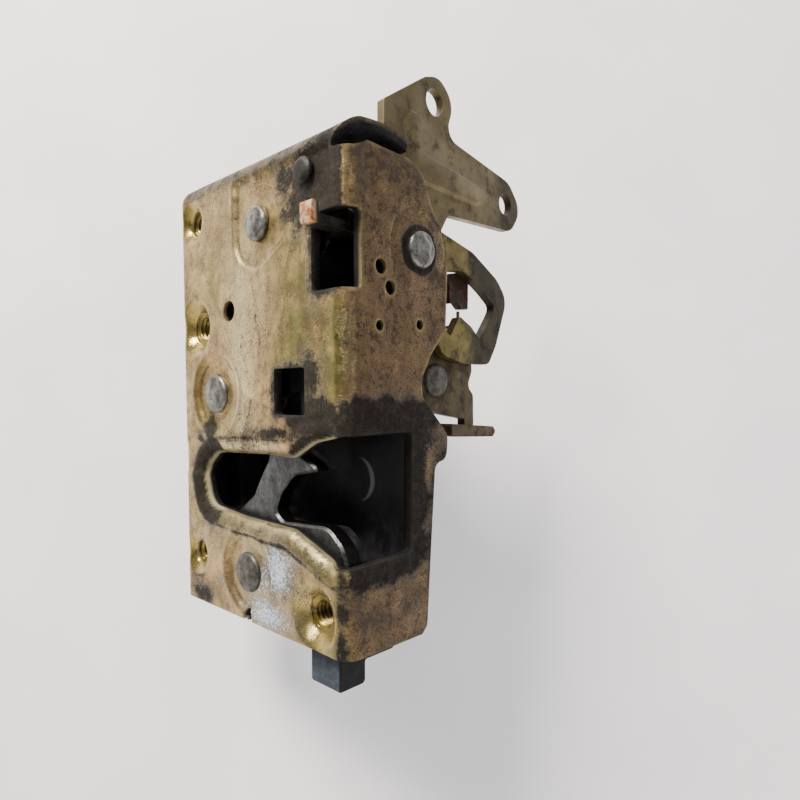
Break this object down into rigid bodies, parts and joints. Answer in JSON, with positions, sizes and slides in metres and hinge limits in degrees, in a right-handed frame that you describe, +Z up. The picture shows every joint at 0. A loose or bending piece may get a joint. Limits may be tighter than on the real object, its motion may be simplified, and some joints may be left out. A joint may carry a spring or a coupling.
{
  "type": "rotary door latch",
  "caption": "Rotary door latch: an L-shaped pressed steel housing with a striker mouth, fork claw, pawl, release levers and a lock lever.",
  "frame": {"origin": "centre of the face plate's outer plane, where it bears on the door's edge", "axes": "+Z up as mounted, -Y out of the face plate, +X out of the side plate"},
  "size_m": [0.0597, 0.0689, 0.1228],
  "materials": {
    "chromated_sheet": "yellow chromated zinc, worn and greasy",
    "plated_bracket": "olive zinc plate, aged",
    "black_plate": "blackened steel under old grease",
    "bare_steel": "bare steel, greasy",
    "rivet_steel": "bare rivet steel, pitted",
    "bush_plate": "bright yellow chromate",
    "detent_bronze": "dark brown bronze",
    "spring_wire": "oiled spring steel",
    "jacket_plastic": "moulded nylon",
    "block_plastic": "moulded plastic, dusty",
    "buffer_rubber": "moulded rubber"
  },
  "bodies": {
    "frame": {"housing": "chromated_sheet", "back_plate": "black_plate", "inner_bearing_plate": "plated_bracket", "bearing_plate": "plated_bracket", "claw_pivot_rivet": "rivet_steel", "pawl_pivot_rivet": "rivet_steel", "lift_pivot_rivet": "rivet_steel", "side_pivot_rivet": "rivet_steel", "bearing_rivet": "rivet_steel", "foot_rivet": "rivet_steel", "stop_stud": "rivet_steel", "screw_bush_left": "bush_plate", "screw_bush_right": "bush_plate", "guide_bush_top": "bush_plate", "guide_bush_bottom": "bush_plate", "detent_tab": "detent_bronze", "detent_wire": "spring_wire", "claw_spring": "spring_wire", "pawl_spring": "spring_wire", "lift_spring": "spring_wire", "striker_buffer": "buffer_rubber", "corner_block": "block_plastic", "claw_washer": "plated_bracket", "pawl_washer": "plated_bracket"},
    "claw": {"claw": "bare_steel", "claw_jacket": "jacket_plastic"},
    "pawl": {"pawl": "bare_steel"},
    "lift_lever": {"lift_lever": "plated_bracket"},
    "rod_lever": {"rod_lever": "plated_bracket"},
    "lock_lever": {"lock_lever": "plated_bracket"}
  },
  "joints": [
    {"name": "claw_pivot", "type": "hinge", "parent": "frame", "child": "claw", "pos_m": [-0.00255, 0.0061, -0.037], "axis": [0, -1, 0], "range_deg": [0, 46], "stiffness_Nm_per_rad": 0.03, "deforming": ["claw_spring"]},
    {"name": "rod_lever_pivot", "type": "hinge", "parent": "frame", "child": "rod_lever", "pos_m": [0.02115, 0.0192, 0.0283], "axis": [-1, 0, 0], "range_deg": [0, 14], "stiffness_Nm_per_rad": 0.05},
    {"name": "pawl_pivot", "type": "hinge", "parent": "frame", "child": "pawl", "pos_m": [-0.01415, 0.0061, 0.0009], "axis": [0, -1, 0], "range_deg": [0, 10], "stiffness_Nm_per_rad": 0.03, "deforming": ["pawl_spring"]},
    {"name": "lift_lever_pivot", "type": "hinge", "parent": "frame", "child": "lift_lever", "pos_m": [0.00235, 0.0051, 0.0348], "axis": [0, 1, 0], "range_deg": [0, 12], "stiffness_Nm_per_rad": 0.03, "deforming": ["lift_spring"]},
    {"name": "lock_lever_pivot", "type": "hinge", "parent": "frame", "child": "lock_lever", "pos_m": [0.02575, 0.0192, 0.0283], "axis": [1, 0, 0], "range_deg": [0, 18]}
  ],
  "couplings": [
    {"joint": "pawl_pivot", "follows": "rod_lever_pivot", "ratio": 0.7},
    {"joint": "lift_lever_pivot", "follows": "rod_lever_pivot", "ratio": 0.85}
  ]
}
